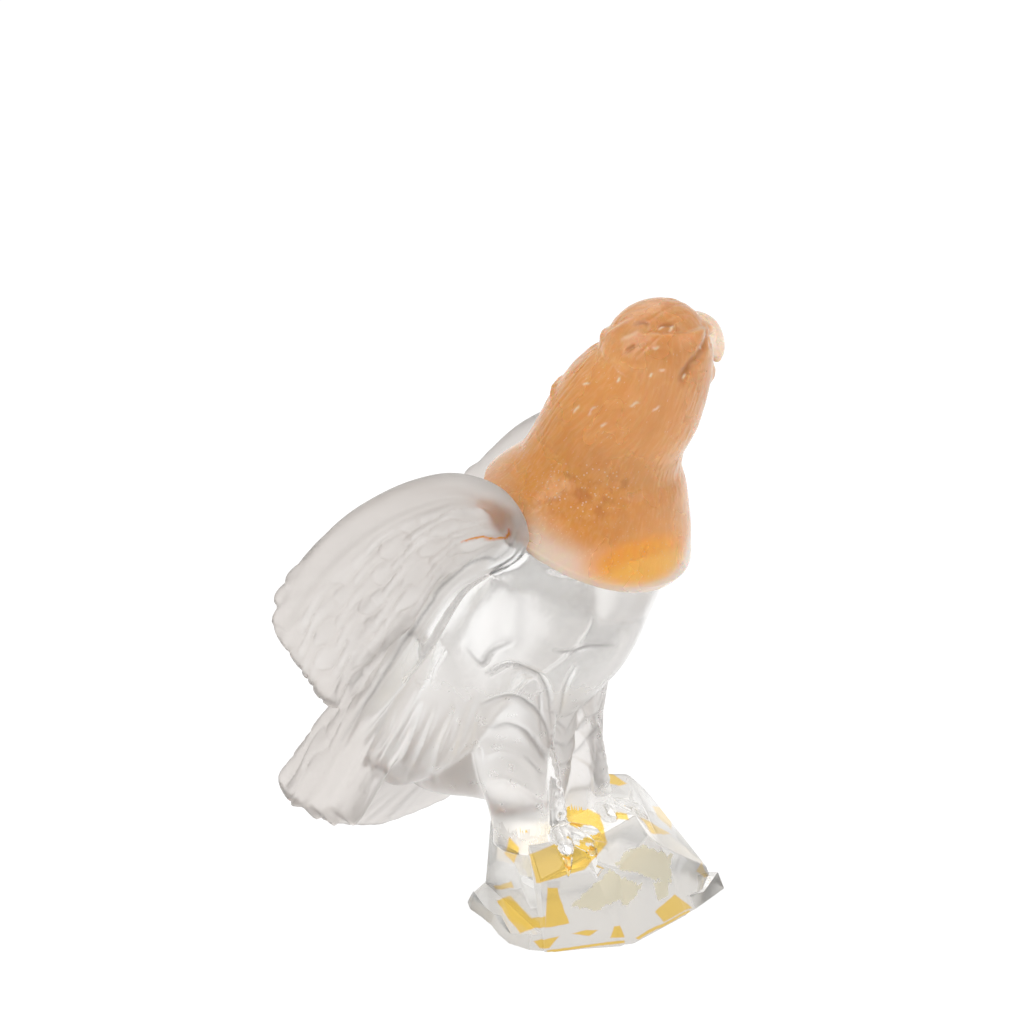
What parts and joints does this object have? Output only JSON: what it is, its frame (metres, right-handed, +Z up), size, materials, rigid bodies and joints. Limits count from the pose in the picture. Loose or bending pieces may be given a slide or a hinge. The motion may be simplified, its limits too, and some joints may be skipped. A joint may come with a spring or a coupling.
{
  "type": "crystal eagle sculpture",
  "caption": "Cast crystal eagle perched on a faceted clear rock, wings half raised, with an amber pate-de-verre head and mantle glued on.",
  "frame": {"origin": "centre of the rock's flat underside, on the surface the sculpture stands on", "axes": "+Z up, the eagle's breast faces -Y, its left wing is towards +X, and its head is turned to +X"},
  "size_m": [0.1746, 0.2215, 0.3415],
  "materials": {
    "crystal": "clear cast crystal, polished on the breast and rock, acid-satin on wings, legs and tail",
    "amber_glass": "cloudy amber pate-de-verre with fine bubbles, soft polish"
  },
  "bodies": {
    "root": {"crystal_body": "crystal", "amber_head": "amber_glass"}
  },
  "joints": []
}
